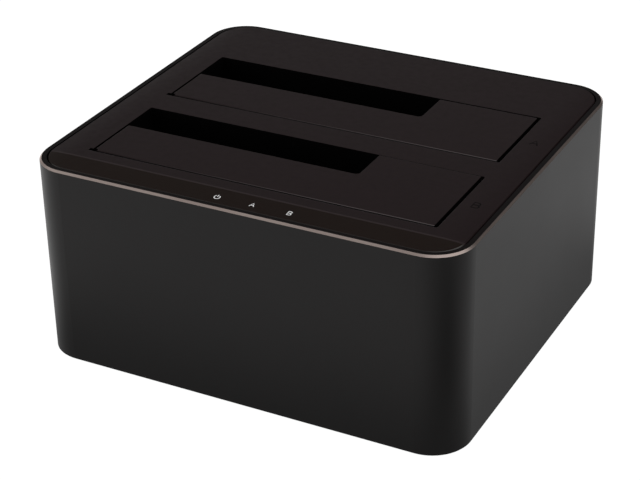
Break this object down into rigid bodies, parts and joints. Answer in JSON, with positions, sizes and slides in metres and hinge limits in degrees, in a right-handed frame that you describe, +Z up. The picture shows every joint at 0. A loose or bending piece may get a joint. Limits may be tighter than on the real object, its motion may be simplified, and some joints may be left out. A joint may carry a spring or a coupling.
{
  "type": "hard drive docking station",
  "caption": "Desktop dock for bare hard drives: a rounded black metal sleeve, a matte top with sprung L-shaped doors over the drive bays, and ports at the back.",
  "frame": {"origin": "on the ground under the middle of the body", "axes": "+X to the right seen from the front, +Y to the back with the ports, +Z up"},
  "size_m": [0.13, 0.115, 0.0615],
  "materials": {
    "anodised_sleeve": "black anodised, fine blasted, with a bright cut rim",
    "cover_plastic": "fine matte texture",
    "door_plastic": "fine matte texture",
    "blackened_steel": "blackened",
    "spring_steel": "drawn wire",
    "guide_plastic": "matte",
    "socket_plastic": "satin",
    "gold_contact": "gold plated",
    "board_laminate": "solder mask",
    "chip_epoxy": "matte",
    "ferrite": "moulded",
    "capacitor_can": "plain can on a black base",
    "crystal_can": "satin",
    "lamp_white": "clear over white",
    "clear_guide": "clear, polished",
    "port_steel": "nickel plated",
    "port_blue": "satin",
    "jack_plastic": "satin",
    "jack_pin_steel": "nickel plated",
    "switch_plastic": "matte",
    "button_plastic": "satin",
    "panel_plastic": "fine matte texture",
    "base_plastic": "fine matte texture",
    "foot_rubber": "matte",
    "screw_steel": "blackened"
  },
  "bodies": {
    "housing": {"sleeve": "anodised_sleeve", "top_cover": "cover_plastic", "door_pin_a": "blackened_steel", "door_pin_b": "blackened_steel", "bay_guide_a": "guide_plastic", "bay_guide_b": "guide_plastic", "sata_socket_a": "socket_plastic", "sata_socket_b": "socket_plastic", "sata_contacts_a": "gold_contact", "sata_contacts_b": "gold_contact", "main_board": "board_laminate", "bridge_chip": "chip_epoxy", "flash_chip": "chip_epoxy", "converter_chips": "chip_epoxy", "power_inductors": "ferrite", "filter_capacitors": "capacitor_can", "crystal": "crystal_can", "status_leds": "lamp_white", "light_guide": "clear_guide", "usb_shell": "port_steel", "usb_insert": "port_blue", "dc_jack": "jack_plastic", "dc_jack_pin": "jack_pin_steel", "power_switch": "switch_plastic", "rear_panel": "panel_plastic", "base_plate": "base_plastic", "foot_front_left": "foot_rubber", "foot_front_right": "foot_rubber", "foot_rear_left": "foot_rubber", "foot_rear_right": "foot_rubber", "base_screws": "screw_steel", "board_screws": "screw_steel", "guide_screws": "screw_steel"},
    "door_a": {"door_a": "door_plastic", "door_spring_a": "spring_steel"},
    "door_b": {"door_b": "door_plastic", "door_spring_b": "spring_steel"},
    "button": {"power_button": "button_plastic"}
  },
  "joints": [
    {"name": "door_a_hinge", "type": "hinge", "parent": "housing", "child": "door_a", "pos_m": [0, 0.0006, 0.0595], "axis": [-1, 0, 0], "range_deg": [0, 90], "stiffness_Nm_per_rad": 0.004, "springref_deg": -57.3, "deforming": ["door_spring_a"]},
    {"name": "door_b_hinge", "type": "hinge", "parent": "housing", "child": "door_b", "pos_m": [0, -0.04075, 0.0595], "axis": [-1, 0, 0], "range_deg": [0, 90], "stiffness_Nm_per_rad": 0.004, "springref_deg": -57.3, "deforming": ["door_spring_b"]},
    {"name": "power_button_press", "type": "slide", "parent": "housing", "child": "button", "axis": [0, -1, 0], "range_m": [0, 0.0012], "stiffness_N_per_m": 300, "springref_m": -0.001}
  ]
}
